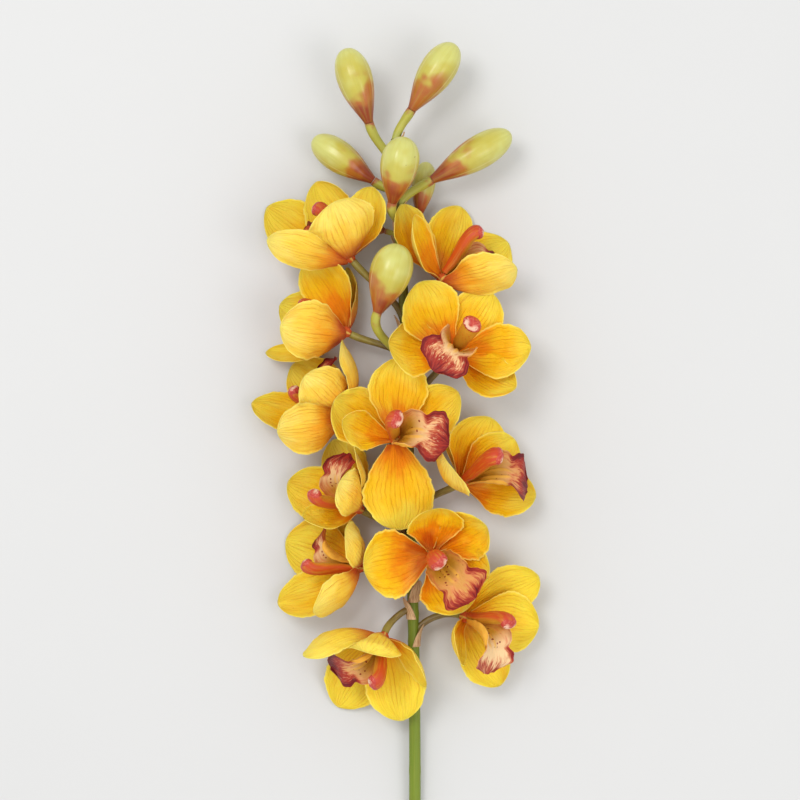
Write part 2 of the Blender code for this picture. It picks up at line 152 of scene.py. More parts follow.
def drape(grid, layers, below, lifting=None):
    # where the leaf dips through what is below it is lifted onto that, along its own normal or the given
    # direction, and the lift fades out around
    need, up = {}, {}
    for vert in grid:
        up[vert] = lifting or sum((face.normal for face in vert.link_faces), Vector()).normalized()
        need[vert] = 0.0
        reach = drapeShape["reach"] * softRamp(vert[layers["spot"]].y, *drapeShape["from"]) * millimetre
        start = vert.co.copy()
        for _ in range(drapeShape["layers"]):
            left = reach - (start - vert.co).length
            hit = below.ray_cast(start, up[vert], left) if left > 0 else (None,)
            if hit[0] is None:
                break
            start = hit[0] + up[vert] * (drapeShape["step"] * millimetre)
            if hit[1].dot(up[vert]) > drapeShape["facing"]:
                need[vert] = (start - vert.co).length + drapeShape["gap"] * millimetre
    lift = dict(need)
    for _ in range(drapeShape["rounds"]):
        mean = {vert: sum(lift[edge.other_vert(vert)] for edge in vert.link_edges) / len(vert.link_edges)
                for vert in grid}
        lift = {vert: max(need[vert], drapeShape["fade"] * mean[vert]) for vert in grid}
    for vert in grid:
        vert.co += up[vert] * lift[vert]


def addLoft(bm, layers, line, section, sides, rings, tone=0.0, slotIndex=0, upHint=upward,
            roundEnd=False, uvReach=1.0):
    # a round body: a circle is extruded ring by ring along line(t), shaped by section(angle, t)
    steps = [i / (rings - 1) for i in range(rings)]
    if roundEnd:
        steps = [sin(pi / 2 * step) for step in steps]
    ring = bmesh.ops.create_circle(bm, cap_ends=True, segments=sides, radius=1.0)["verts"]
    first = list({face for vert in ring for face in vert.link_faces})
    angles = [atan2(vert.co.y, vert.co.x) for vert in ring]
    everything = list(ring)
    side = None
    for i, t in enumerate(steps):
        ahead = (line(min(t + 0.01, 1.0)) - line(max(t - 0.01, 0.0))).normalized()
        side = across(upHint if side is None else side, ahead)
        other = ahead.cross(side)
        if i:
            edges = list({edge for vert in ring for edge in vert.link_edges if edge.other_vert(vert) in ring})
            grown = bmesh.ops.extrude_edge_only(bm, edges=edges)["geom"]
            fresh = [item for item in grown if isinstance(item, bmesh.types.BMVert)]
            below = {edge.other_vert(vert): vert for vert in fresh for edge in vert.link_edges
                     if edge.other_vert(vert) in ring}
            ring = [below[vert] for vert in ring]
            everything += ring
        for vert, angle in zip(ring, angles):
            x, y = section(angle, t)
            vert.co = inFrame(line(t) + side * x + other * y)
            vert[layers["spot"]] = Vector((angle / tau % 1.0, t * uvReach, 0.0))
            vert[layers["tone"]] = tone
    bmesh.ops.contextual_create(bm, geom=ring)
    region = list({face for vert in everything for face in vert.link_faces} | set(first))
    for face in region:
        face.material_index = slotIndex
    turnOutwards(bm, region)


def turnOutwards(bm, faces):
    bmesh.ops.recalc_face_normals(bm, faces=faces)
    volume = 0.0
    for face in faces:
        middle = face.calc_center_median() - cutEnd
        volume += middle.dot(face.normal) * face.calc_area()
    if volume < 0:
        bmesh.ops.reverse_faces(bm, faces=faces)


def placed(name, data, location=(0, 0, 0)):
    item = bpy.data.objects.new(name, data)
    item.location = location
    scene.collection.objects.link(item)
    return item


def finishPiece(name, bm, layers, materials, nodes, sharpAngle=60):
    # seams of the round pieces: the uv of the last column goes on to 1 instead of back to 0
    for face in bm.faces:
        spots = [loop.vert[layers["spot"]] for loop in face.loops]
        wraps = max(spot.x for spot in spots) - min(spot.x for spot in spots) > 0.6
        for loop, spot in zip(face.loops, spots):
            loop[layers["uv"]].uv = (spot.x + 1.0 if wraps and spot.x < 0.4 else spot.x, spot.y)
    for key in ("spot", "lift"):
        bm.verts.layers.float_vector.remove(bm.verts.layers.float_vector[key])
    mesh = bpy.data.meshes.new(name)
    bm.to_mesh(mesh)
    bm.free()
    mesh.shade_smooth()
    mesh.set_sharp_from_angle(angle=radians(sharpAngle))
    for item in materials:
        mesh.materials.append(item)
    piece = placed(name, mesh)
    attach(piece, "root")
    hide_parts(*nodes)
    return piece


# material helpers: a wire is one value in a node tree, and arithmetic with wires adds math nodes

class Wire:
    def __init__(self, node, output):
        self.tree = node.id_data
        self.socket = node.outputs[output]

    def __add__(self, other):
        return calc(self.tree, "ADD", self, other)

    def __sub__(self, other):
        return calc(self.tree, "SUBTRACT", self, other)

    def __rsub__(self, other):
        return calc(self.tree, "SUBTRACT", other, self)

    def __mul__(self, other):
        return calc(self.tree, "MULTIPLY", self, other)

    def __abs__(self):
        return calc(self.tree, "ABSOLUTE", self)


def addNode(tree, kind, inputs=(), **settings):
    made = tree.nodes.new(kind)
    for key, value in settings.items():
        setattr(made, key, value)
    for key, value in dict(inputs).items():
        if isinstance(value, Wire):
            tree.links.new(value.socket, made.inputs[key])
        else:
            made.inputs[key].default_value = (*value, 1.0) if isinstance(value, tuple) else value
    return made


def calc(tree, operation, a, b=0.0):
    return Wire(addNode(tree, "ShaderNodeMath", {0: a, 1: b}, operation=operation), 0)


def larger(a, b):
    return calc(a.tree, "MAXIMUM", a, b)


def fromHalf(value):
    # 0 half way between whole numbers, 0.5 at a whole number
    return abs(calc(value.tree, "FRACT", value) - 0.5)


def band(value, low, high, toLow=0.0, toHigh=1.0):
    inputs = {"Value": value, "From Min": low, "From Max": high, "To Min": toLow, "To Max": toHigh}
    return Wire(addNode(value.tree, "ShaderNodeMapRange", inputs, interpolation_type="SMOOTHSTEP"), "Result")


def mix(factor, a, b, mode="MIX"):
    made = addNode(factor.tree, "ShaderNodeMix", {0: factor, 6: a, 7: b}, data_type="RGBA", blend_type=mode)
    return Wire(made, 2)


def colorAlong(value, stops):
    made = addNode(value.tree, "ShaderNodeValToRGB", {"Fac": value})
    ramp = made.color_ramp
    ramp.interpolation = "EASE"
    while len(ramp.elements) < len(stops):
        ramp.elements.new(0.5)
    for element, (place, color) in zip(ramp.elements, stops):
        element.position = place
        element.color = (*color, 1.0)
    return Wire(made, "Color")


def surfaceSpot(tree):
    # across and along the piece, both 0 to 1
    spot = Wire(addNode(tree, "ShaderNodeUVMap", uv_map="surface"), "UV")
    parts = addNode(tree, "ShaderNodeSeparateXYZ", {"Vector": spot})
    return Wire(parts, "X"), Wire(parts, "Y")


def pointValue(tree, name):
    return Wire(addNode(tree, "ShaderNodeAttribute", attribute_name=name), "Fac")


def joined(x, y, z):
    return Wire(addNode(x.tree, "ShaderNodeCombineXYZ", {"X": x, "Y": y, "Z": z}), "Vector")


def clouds(where, scale, detail, roughness):
    inputs = {"Vector": where, "Scale": scale, "Detail": detail, "Roughness": roughness}
    return Wire(addNode(where.tree, "ShaderNodeTexNoise", inputs), "Fac")


def grain(x, y, seed, detail=3.0):
    return clouds(joined(x, y, seed), 1.0, detail, 0.55)


def bodyGrain(tree, scale, detail=3.0):
    return clouds(Wire(addNode(tree, "ShaderNodeTexCoord"), "Object"), scale, detail, 0.6)


def startMaterial(name, roughness, **sockets):
    made = bpy.data.materials.new(name)
    made.use_nodes = True
    shader = made.node_tree.nodes["Principled BSDF"]
    shader.inputs["Roughness"].default_value = roughness
    for key, value in sockets.items():
        shader.inputs[key.replace("_", " ")].default_value = value
    return made, made.node_tree


def finishMaterial(made, color, height=None, distance=0.0, strength=1.0):
    # height is the relief as a wire, distance its depth in metres
    tree = made.node_tree
    shader = tree.nodes["Principled BSDF"]
    tree.links.new(color.socket, shader.inputs["Base Color"])
    if height:
        bump = addNode(tree, "ShaderNodeBump", {"Height": height, "Distance": distance, "Strength": strength})
        tree.links.new(bump.outputs["Normal"], shader.inputs["Normal"])
    return made


# petals

petalLook = {
    # inner face: orange at the base to yellow at the tip; the deepest orange at the base is partly the real
    # orange claw and partly painted shade of the cupped hollow
    "inside": ((0.0, (0.52, 0.085, 0.001)), (0.23, (0.78, 0.23, 0.001)), (0.54, (0.87, 0.50, 0.007)),
               (0.92, (0.88, 0.67, 0.06))),
    "outside": ((0.0, (0.56, 0.10, 0.010)), (0.25, (0.82, 0.34, 0.014)), (0.62, (0.86, 0.56, 0.06)),
                (1.0, (0.87, 0.69, 0.15))),
    "orange": (0.78, 0.23, 0.001), "fresh": (0.92, 0.71, 0.05),
    "rim": (0.95, 0.78, 0.17), "vein": (0.74, 0.25, 0.006), "blush": (0.62, 0.10, 0.03),
    "veins": 15.0, "veinStrength": 0.42, "roughness": 0.5, "glow": 0.2, "glowDepth": 0.0035,
    "glowColor": (1.0, 0.45, 0.05), "relief": 0.0009, "fleck": (0.35, 0.12, 0.02),
}


def petalMaterial():
    look = petalLook
    made, tree = startMaterial("petalSkin", look["roughness"], Subsurface_Weight=look["glow"],
                               Subsurface_Scale=look["glowDepth"], Subsurface_Radius=look["glowColor"],
                               Specular_IOR_Level=0.10)
    x, t = surfaceSpot(tree)
    inner, tone = pointValue(tree, "inner"), pointValue(tree, "tone")
    pale = pointValue(tree, "pale")          # -1 keeps a bloom deep orange, 1 makes it lemon yellow
    edge = abs(x * 2.0 - 1.0)
    patch = grain(x * 3.0, t * 2.2, tone)
    shifted = t + band(patch, 0.3, 0.7, -0.12, 0.12) + pale * 0.22
    # the inner face's ramp carries painted shade: its deep orange base stands partly for shade in the cup
    color = mix(inner, colorAlong(shifted, look["outside"]), colorAlong(shifted, look["inside"]))
    color = mix(band(pale, 0.0, 1.0, 0.0, 0.7) * band(t, 0.15, 0.6), color, look["fresh"])
    # warm and pale patches that differ from petal to petal
    drift = grain(x * 1.6, t * 1.3, tone * 3.0 + 5.0, 2.0)
    color = mix(band(drift, 0.5, 0.75, 0.0, 0.35), color, look["orange"])
    color = mix(band(drift, 0.5, 0.25, 0.0, 0.18), color, look["rim"])
    # lengthwise veins: about a dozen thin lines and a finer streak between them
    bend = grain(x * 4.0, t * 3.0, tone) * 0.06
    streak = grain(x * 46.0, t * 3.5, tone, 4.0)
    vein = band(fromHalf((x + bend) * look["veins"]), 0.16, 0.0) * band(streak, 0.35, 0.6)
    fade = band(t, 1.0, 0.55) * band(edge, 1.0, 0.75)
    color = mix(vein * fade * look["veinStrength"], color, look["vein"])
    color = mix(band(streak, 0.35, 0.75, 0.0, 0.22), color, look["orange"], "MULTIPLY")
    # reddish blush low on the outer face, pale rim, tiny brown flecks
    color = mix(band(t, 0.44, 0.06) * (1.0 - inner) * 0.75, color, look["blush"])
    color = mix(larger(band(edge, 0.91, 0.98), band(t, 0.975, 0.995)) * 0.55, color, look["rim"])
    color = mix(band(bodyGrain(tree, 420.0, 1.0), 0.80, 0.84) * 0.35, color, look["fleck"])
    crumple = grain(x * 9.0, t * 9.0, tone, 4.0)
    height = streak * 0.6 + crumple * 1.3 - vein * 0.5
    return finishMaterial(made, color, height, look["relief"], 0.8)


def sepal(heading, rise, length, width, **more):
    # show: how far the inner face turns up to the camera, fold: a crease along the left and the right half
    return {"heading": heading, "rise": rise, "length": length, "width": width, "show": 0.0, "belly": 0.24,
            "tipBelly": 0.2, "cup": 38.0, "fold": (0.0, 0.0), "inner": False, **more}


def petal(*place, **more):
    return {**sepal(*place, **more), "inner": True}


# hub: where the leaves meet; faces and back: heading and rise of the front and of the dorsal side;
# leaves: where the pedicel leaves the stalk; lip: the size of lip and column; stain and cream: how red and
# how pale the lip is; fresh: how yellow the petals are; restsOn: what the petals lie on
blooms = {
    "bloom_01": {
        "hub": (-46.0, 485.0, 31.0), "faces": (131, 8), "back": (41, 34), "leaves": 432, "lip": 0.95,
        "stain": 0.95, "cream": 0.0, "fresh": 0.2, "tepals": (
            petal(72, 4, 58, 43, show=0.55), petal(108, 43, 58, 58, show=-0.6, cup=25),
            sepal(115, -19, 72, 47, show=0.5, fold=(0, 60)), sepal(147, -20, 84, 45, show=0.6),
            sepal(167, 16, 68, 32, show=-0.8))},
    "bloom_02": {
        "hub": (18.5, 469.0, 24.4), "faces": (44, 8), "back": (134, 20), "leaves": 452,
        "stain": 0.8, "cream": 0.5, "fresh": -0.1,
        "restsOn": ("petals04", "stalk", "pedicels", "bracts"), "tepals": (
            sepal(118, 8, 66, 42, show=0.5), petal(117, 34, 60, 50, show=0.35),
            sepal(75, -16, 64, 42, show=0.7), petal(30, -24, 68, 44, show=0.6),
            sepal(11, 20, 62, 38, show=-0.6))},
    "bloom_03": {
        "hub": (-48.0, 430.0, 24.0), "faces": (156, 8), "back": (66, 32), "leaves": 404, "lip": 0.7,
        "stain": 0.8, "cream": 0.3, "fresh": -0.2, "tepals": (
            petal(117, 0, 66, 52, show=0.5), sepal(92, -18, 54, 34),
            petal(175, 34, 62, 46, show=-0.7, cup=25), sepal(157, -26, 66, 42, show=0.5),
            sepal(192, -14, 68, 34))},
    "bloom_04": {
        "hub": (28.5, 414.0, 33.0), "faces": (60, 66), "back": (50, -10), "leaves": 362,
        "stain": 0.78, "cream": 0.8, "fresh": 0.1, "tepals": (
            petal(117, 14, 62, 54), sepal(170, 24, 54, 52, fold=(0, 50)),
            sepal(57, 0, 56, 46), petal(4, 14, 62, 48), sepal(-29, 20, 58, 40, fold=(70, 0)))},
    "bloom_06": {
        "hub": (-15.0, 349.0, 36.0), "faces": (60, 70), "back": (158, 8), "leaves": 305,
        "stain": 0.78, "cream": 0.6, "fresh": 0.12, "restsOn": ("petals05", "petals08"), "tepals": (
            petal(86, 6, 64, 48, belly=0.08), sepal(147, 12, 56, 50),
            petal(160, 34, 52, 34, fold=(0, 60)), sepal(37, 10, 62, 42),
            sepal(274, 4, 68, 54, show=0.4, cup=10, belly=0.05, tipBelly=-0.05))},
    "bloom_05": {
        "hub": (-49.0, 367.0, 26.0), "faces": (147, 6), "back": (237, -14), "leaves": 335, "lip": 0.85,
        "stain": 0.85, "cream": 0.4, "fresh": -0.2, "tepals": (
            sepal(94, 18, 60, 32, show=-0.1), petal(136, 40, 57, 42, show=-0.6, cup=25),
            sepal(138, -22, 64, 46, show=0.6), petal(173, -8, 76, 40, show=0.4),
            sepal(193, 20, 58, 44, show=-0.7, cup=25))},
    "bloom_07": {
        "hub": (34.0, 316.0, 28.0), "faces": (30, 38), "back": (146, 34), "leaves": 286,
        "stain": 0.8, "cream": 0.25, "fresh": -0.1, "tepals": (
            sepal(66, 4, 56, 50, show=0.5), petal(38, -8, 54, 42, show=0.6),
            petal(125, 66, 54, 48, show=-0.5), sepal(-10, -8, 60, 42, show=0.4),
            sepal(92, -30, 46, 38))},
    "bloom_08": {
        "hub": (-39.0, 296.0, 27.0), "faces": (150, 34), "back": (240, 10), "leaves": 267, "lip": 0.85,
        "stain": 0.75, "cream": 0.7, "fresh": 0.2, "restsOn": ("lip09",), "tepals": (
            sepal(112, -22, 62, 42, show=0.5), petal(99, 16, 56, 42, show=-0.3),
            sepal(160, -12, 62, 44, show=0.5), sepal(186, 16, 46, 34), petal(124, 56, 52, 36, show=-0.4))},
    "bloom_09": {
        "hub": (-38.0, 252.0, 26.0), "faces": (168, 14), "back": (258, 30), "leaves": 240, "lip": 0.8,
        "stain": 0.75, "cream": 0.7, "fresh": 0.3, "tepals": (
            sepal(161, -22, 68, 52, show=0.6), sepal(204, -8, 72, 44, show=0.4),
            petal(108, 46, 48, 38, show=-0.2), petal(222, 32, 56, 42, show=-0.4),
            sepal(122, -26, 48, 36, show=0.3))},
    "bloom_10": {
        "hub": (13.0, 264.0, 38.0), "faces": (-40, 75), "back": (134, 10), "leaves": 230,
        "stain": 0.55, "cream": 0.12, "fresh": -0.55, "tepals": (
            petal(84, 38, 48, 46), sepal(191, 14, 54, 58), petal(30, 24, 52, 46),
            sepal(-62, 20, 52, 50), sepal(-20, 14, 48, 42))},
    "bloom_11": {
        "hub": (36.0, 216.0, 26.0), "faces": (-15, 44), "back": (75, 10), "leaves": 196, "lip": 0.95,
        "stain": 0.3, "cream": 1.0, "fresh": 0.8, "tepals": (
            sepal(60, -18, 38, 38, show=0.3), sepal(28, 0, 66, 42, show=0.6), petal(-8, -8, 60, 52, show=0.6),
            petal(-97, 46, 46, 36, show=-0.2), sepal(-62, -8, 62, 42, show=0.5))},
    "bloom_12": {
        "hub": (-22.0, 203.0, 29.0), "faces": (247, 40), "back": (355, 20), "leaves": 217, "lip": 0.9,
        "stain": 0.95, "cream": 0.35, "fresh": 0.7, "tepals": (
            sepal(193, 20, 66, 42, show=-0.5), petal(214, 66, 44, 48, show=-0.3),
            petal(-46, 26, 54, 44, show=-0.2), sepal(238, -22, 74, 50, show=0.5),
            sepal(-78, -4, 68, 50, show=0.7))},
}

petalShape = {
    "columns": 26, "rows": 40, "middleThickness": 1.0, "edgeThickness": 0.35, "claw": 0.24, "widest": 0.60,
    "sepalSeat": 2.4, "petalSeat": 3.8, "seatRadius": 3.2, "hubRadius": 4.3, "hubLength": 9.0, "gap": 0.35,
    "nibble": 0.07, "foldFrom": 0.35, "foldGain": 1.6, "rimFrom": 0.8, "rimTurn": 0.4, "wave": 9.0,
    "rimWaver": 1.8, "waver": 1.1, "midribDepth": 0.5, "midribWidth": 0.07, "blunt": 0.05, "slices": 8,
}

# the room that lip and column take: forward, dorsal top and bottom, half width sideways
throatRoom = ((8.5, 0.1, -0.1, 0.1), (15.0, 9.5, -9.5, 10.0), (30.0, 16.0, -24.0, 24.0),
              (40.0, 18.5, -43.0, 25.0), (70.0, 18.5, -43.0, 25.0))


def bloomAxes(bloom):
    forward = direction(*bloom["faces"])
    dorsal = across(direction(*bloom["back"]), forward)
    return dorsal.cross(forward), dorsal, forward


def lipHeight(size):
    # a smaller lip is lower by less than it is smaller
    return 0.6 * size + 0.4


def clearOfThroat(bloom, axes, point):
    sideways, dorsal, forward = axes
    offset = point - Vector(bloom["hub"])
    size = bloom.get("lip", 1.0)
    ahead = offset.dot(forward)
    if ahead <= throatRoom[0][0]:
        return point
    top, bottom, wide = (eased([(row[0], row[k]) for row in throatRoom], ahead) for k in (1, 2, 3))
    bottom *= lipHeight(size)
    wide = max(wide * size, min(wide, 9.0))
    tall = (top - bottom) / 2
    x, y = offset.dot(sideways), offset.dot(dorsal) - (top + bottom) / 2
    reach = max(hypot(x / wide, y / tall), 0.05)
    grow = (reach ** 5 + 1) ** 0.2 / reach - 1
    return point + sideways * (x * grow) + dorsal * (y * grow)


def petalOutline(t):
    # half width as a share: a broad claw that swells out, and a round end
    shape = petalShape
    if t < shape["widest"]:
        return shape["claw"] + (1 - shape["claw"]) * sin(pi / 2 * t / shape["widest"]) ** 1.1
    return max(1 - ((t - shape["widest"]) / (1 - shape["widest"])) ** 2.3, 0.0) ** 0.52 * 0.97 + 0.03


def petalSurface(bloom, item, seed):
    shape = petalShape
    axes = bloomAxes(bloom)
    forward = axes[2]
    chord = direction(item["heading"], item["rise"])
    show = item["show"]
    inward = across(across(forward, chord) * (1 - abs(show)) + Vector((0, 0, show)), chord)
    seat = shape["petalSeat"] if item["inner"] else shape["sepalSeat"]
    root = Vector(bloom["hub"]) + forward * seat
    outward = across(chord, forward) * shape["seatRadius"]
    length = item["length"] - seat * max(chord.dot(forward), 0)
    cup = radians(item["cup"])
    openAngle = degrees(chord.angle(forward))
    belly = min(item["belly"], tan(radians(max(97 - openAngle, 0))) / 3)

    def place(u, t):
        s = 1 - t
        dip = -3 * length * (belly * t * s * s + item["tipBelly"] * t * t * s)
        slope = -3 * (belly * (s * s - 2 * t * s) + item["tipBelly"] * (2 * t * s - t * t))
        along = (chord + inward * slope).normalized()
        normal = across(inward, along)
        side = along.cross(normal)
        coarse = waver(t * 8, copysign(2, u), seed)
        fine = 0.6 * waver(t * 25, copysign(5, u), seed)
        half = item["width"] / 2 * petalOutline(t) * (1 + shape["nibble"] * (coarse + fine))
        flat = petalOutline(t) if t > shape["widest"] else 1.0       # the end is flatter, like a spoon
        fold = radians(item["fold"][0 if u < 0 else 1]) * shape["foldGain"] * t
        rim = shape["rimTurn"] / (1 - shape["rimFrom"]) * softRamp(t, 0.2, 0.6)       # turns back a little
        # the cross section is summed up in slices from the midrib outwards
        x = y = 0.0
        for i in range(shape["slices"]):
            a = abs(u) * (i + 0.5) / shape["slices"]
            turn = cup * a * (flat + 0.7 * s * s * s) + fold * max(a - shape["foldFrom"], 0.0)
            turn -= rim * max(a - shape["rimFrom"], 0.0)
            x += cos(turn) * abs(u) / shape["slices"] * half
            y += sin(turn) * abs(u) / shape["slices"] * half
        ripple = u * u * t * sin(shape["wave"] * t + item["heading"])
        ripple += shape["rimWaver"] * abs(u) ** 3 * waver(t * 5.0, u * 1.5, seed)
        ripple += shape["waver"] * waver(u * 1.3, t * 2.2, seed + 3.7)
        ripple -= shape["midribDepth"] * exp(-(u / shape["midribWidth"]) ** 2) * softRamp(t, 0.0, 0.15) * s
        ripple *= flat
        point = root + chord * (length * (t - shape["blunt"] * u * u * t ** 4 * flat)) + inward * dip
        point += side * copysign(x, u) + normal * (y + ripple) + outward * (s * s)
        return onTable(clearOfThroat(bloom, axes, point))

    return place


def petalThickness(edge, t):
    shape = petalShape
    thin = max(softRamp(edge, 0.35, 1.0), softRamp(t, 0.7, 1.0))
    return shape["middleThickness"] + (shape["edgeThickness"] - shape["middleThickness"]) * thin


def treeOf(name):
    mesh = bpy.data.objects[name].data
    places = [vert.co for vert in mesh.vertices]
    return BVHTree.FromPolygons(places, [face.vertices for face in mesh.polygons])


def makePetals(name, bloom, number, skin):
    shape = petalShape
    bm, layers = startMesh()
    hub, forward = Vector(bloom["hub"]), direction(*bloom["faces"])
    swell = ((0.0, 0.64), (0.3, 0.95), (0.6, 1.0), (1.0, 0.6))
    reach = shape["hubLength"] - 2 * shape["gap"]

    def ribbed(angle, t):
        radius = shape["hubRadius"] * eased(swell, t) * (1 + 0.05 * cos(6 * angle))
        return radius * cos(angle), radius * sin(angle)

    addLoft(bm, layers, lambda t: hub + forward * (shape["gap"] + reach * t), ribbed, 30, 10, uvReach=0.1)
    # the outer leaves come first, and every next one lies on those before it and on its neighbours
    neighbours = [treeOf(made) for made in bloom.get("restsOn", ())]
    for item in sorted(bloom["tepals"], key=lambda item: (item["inner"], item["rise"])):
        seed = number * 5 + bloom["tepals"].index(item)
        addSheet(bm, layers, petalSurface(bloom, item, seed), shape["columns"], shape["rows"], petalThickness,
                 tone=(seed * 0.618) % 1.0 * 2 - 1, pale=bloom["fresh"],
                 below=[(BVHTree.FromBMesh(bm), None)] + [(tree, upward) for tree in neighbours])
    return finishPiece(name.replace("bloom_", "petals"), bm, layers, [skin], [name + "_tepals"])


# lip

lipLook = {
    "cream": (0.84, 0.58, 0.30), "ochre": (0.54, 0.27, 0.02), "peach": (0.66, 0.25, 0.06),
    "crimson": (0.36, 0.030, 0.018), "burgundy": (0.14, 0.007, 0.010), "rose": (0.58, 0.13, 0.05),
    "spot": (0.22, 0.008, 0.006), "keel": (0.78, 0.42, 0.05), "back": (0.80, 0.42, 0.05),
}
lipShape = {
    "columns": 34, "rows": 52, "thickness": 1.3, "edgeThickness": 0.5,
    "midline": ((-3.4, 9.4), (-5.0, 26.0), (-13.0, 48.0), (-37.0, 37.0)),          # (dorsal, forward)
    "halfWidth": ((0.0, 5.0), (0.1, 8.0), (0.25, 14.0), (0.38, 19.5), (0.5, 22.5), (0.57, 21.0), (0.65, 15.5),
                  (0.73, 19.5), (0.82, 21.5), (0.92, 18.0), (1.0, 10.0)),
    "turn": ((0.0, 75.0), (0.2, 82.0), (0.38, 82.0), (0.52, 76.0), (0.65, 48.0), (0.82, 26.0), (1.0, -15.0)),
    "keelAt": 0.13, "keelWidth": 0.07, "keelHeight": 1.5, "frill": 4.5, "rimWaver": 1.6, "waver": 0.7,
    "lean": 2.2,
}


def lipMaterial():
    look = lipLook
    made, tree = startMaterial("lipSkin", 0.42, Subsurface_Weight=0.06, Subsurface_Scale=0.002,
                               Subsurface_Radius=(1.0, 0.35, 0.2), Specular_IOR_Level=0.16)
    x, t = surfaceSpot(tree)
    inner, pale = pointValue(tree, "inner"), pointValue(tree, "pale")
    stain = pointValue(tree, "tone")         # how far the crimson spreads
    seed = stain * 61.0
    edge = abs(x * 2.0 - 1.0)
    broad = grain(x * 6.0, t * 6.0, seed, 2.0)
    streak = grain(x * 30.0, t * 5.0, seed)
    fine = grain(x * 75.0, t * 9.0, seed, 2.0)
    color = mix(band(t, 0.40, 0.66), look["ochre"], look["peach"])
    color = mix(band(broad, 0.62, 0.38, 0.0, 0.5), color, look["ochre"])
    color = mix(band(edge, 0.4, 0.85, 0.0, 0.6), color, look["peach"])
    color = mix(pale * band(t, 0.35, 0.6), color, look["cream"])
    # the crimson is solid at the margin of the front lobe and breaks up into streaks further in
    front = band(t, 0.52, 0.66)
    margin = larger(band(t, 0.58, 1.0), band(edge, 0.25, 1.0) * front)
    cover = margin + (stain * 0.9 - 0.75) + (streak * 1.5 - 0.75) + (broad * 1.1 - 0.55)
    cover = cover * front
    color = mix(band(cover, 0.02, 0.40, 0.0, 0.8), color, look["rose"])
    color = mix(band(cover, 0.22, 0.62), color, look["crimson"])
    color = mix(band(cover, 0.55, 1.1) * band(margin, 0.45, 0.9), color, look["burgundy"])
    # pale dashes across the crimson, fewer near the margin
    dash = band(grain(x * 40.0, t * 16.0, seed, 1.0), 0.52, 0.75, 0.0, 0.9) * band(margin, 0.98, 0.6)
    color = mix(dash * front * pale, color, look["cream"])
    # thin streaks on the side lobes, two pale keels between them
    lobes = band(edge, 0.35, 0.8) * band(t, 0.2, 0.4) * band(t, 0.66, 0.56)
    color = mix(lobes * band(streak, 0.46, 0.66, 0.0, 0.65), color, look["rose"])
    keels = band(abs(edge - 0.15), 0.08, 0.02) * band(t, 0.15, 0.25) * band(t, 0.68, 0.58)
    color = mix(keels * 0.7, color, look["keel"])
    # dark red spots in the throat: the cells that a draw picks out
    inputs = {"Vector": joined(x * 12.0, t * 17.0, seed), "Scale": 1.0, "Randomness": 0.9}
    cells = addNode(tree, "ShaderNodeTexVoronoi", inputs)
    draw = Wire(addNode(tree, "ShaderNodeSeparateColor", {"Color": Wire(cells, "Color")}), "Red")
    cell = Wire(cells, "Distance") + band(draw, 0.50, 0.55, 1.0, 0.0)
    throat = band(edge, 0.66, 0.5) * band(t, 0.15, 0.25) * band(t, 0.66, 0.58)
    color = mix(throat * band(cell, 0.30, 0.20, 0.0, 0.92), color, look["spot"])
    # the underside is paler, and the crimson shows through it
    under = mix(band(cover, 0.1, 0.7, 0.0, 0.85), look["back"], look["crimson"])
    under = mix(band(fine, 0.4, 0.7, 0.0, 0.35), under, look["peach"])
    return finishMaterial(made, mix(inner, under, color), fine * 0.5 + streak + broad, 0.0007, 0.7)


def lipSurface(bloom, seed):
    shape = lipShape
    sideways, dorsal, forward = bloomAxes(bloom)
    hub = Vector(bloom["hub"])
    size = bloom.get("lip", 1.0)
    path = [Vector(point) for point in shape["midline"]]

    def place(u, t):
        mid = bezier(*path, t)
        ahead = (bezier(*path, min(t + 0.01, 1.0)) - bezier(*path, max(t - 0.01, 0.0))).normalized()
        half = eased(shape["halfWidth"], t)
        half *= sqrt(max(1 - 0.6 * max((t - 0.9) / 0.1, 0.0) ** 2, 0.0))
        turn = radians(eased(shape["turn"], t)) or 1e-4
        x = half / turn * sin(turn * u)
        y = half / turn * (1 - cos(turn * u))
        lift = shape["frill"] * u * u * max(t - 0.6, 0.0) * sin(17 * t + 3 * u)
        lift += shape["rimWaver"] * softRamp(t, 0.6, 0.8) * abs(u) ** 4 * waver(t * 11.0, u * 3.0, seed)
        keel = exp(-((abs(u) - shape["keelAt"]) / shape["keelWidth"]) ** 2)
        lift += shape["keelHeight"] * keel * softRamp(t, 0.15, 0.3) * softRamp(t, 0.72, 0.6)
        lift += shape["waver"] * waver(u * 2.5, t * 4.0, seed + 9.1)
        # the tips of the side lobes lean in
        lean = shape["lean"] * softRamp(abs(u), 0.78, 1.0) * softRamp(t, 0.3, 0.5) * softRamp(t, 0.68, 0.58)
        mid = mid + Vector((ahead.y, -ahead.x)) * (y + lift)
        mid = mid - ahead * (2.2 * u * u * t ** 6)
        run = path[0].y + (mid.y - path[0].y) * size
        point = hub + sideways * ((x - copysign(lean, u)) * size)
        return onTable(point + dorsal * (mid.x * lipHeight(size)) + forward * run)

    return place


def makeLip(name, bloom, number, skin):
    shape = lipShape
    bm, layers = startMesh()

    def thickness(edge, t):
        return shape["thickness"] + (shape["edgeThickness"] - shape["thickness"]) * max(
            softRamp(edge, 0.5, 1.0), softRamp(t, 0.75, 1.0))

    addSheet(bm, layers, lipSurface(bloom, number), shape["columns"], shape["rows"], thickness,
             tone=bloom["stain"], pale=bloom["cream"], innerSide=0.0)
    return finishPiece(name.replace("bloom_", "lip"), bm, layers, [skin], [name + "_lip"])


# column with its anther cap

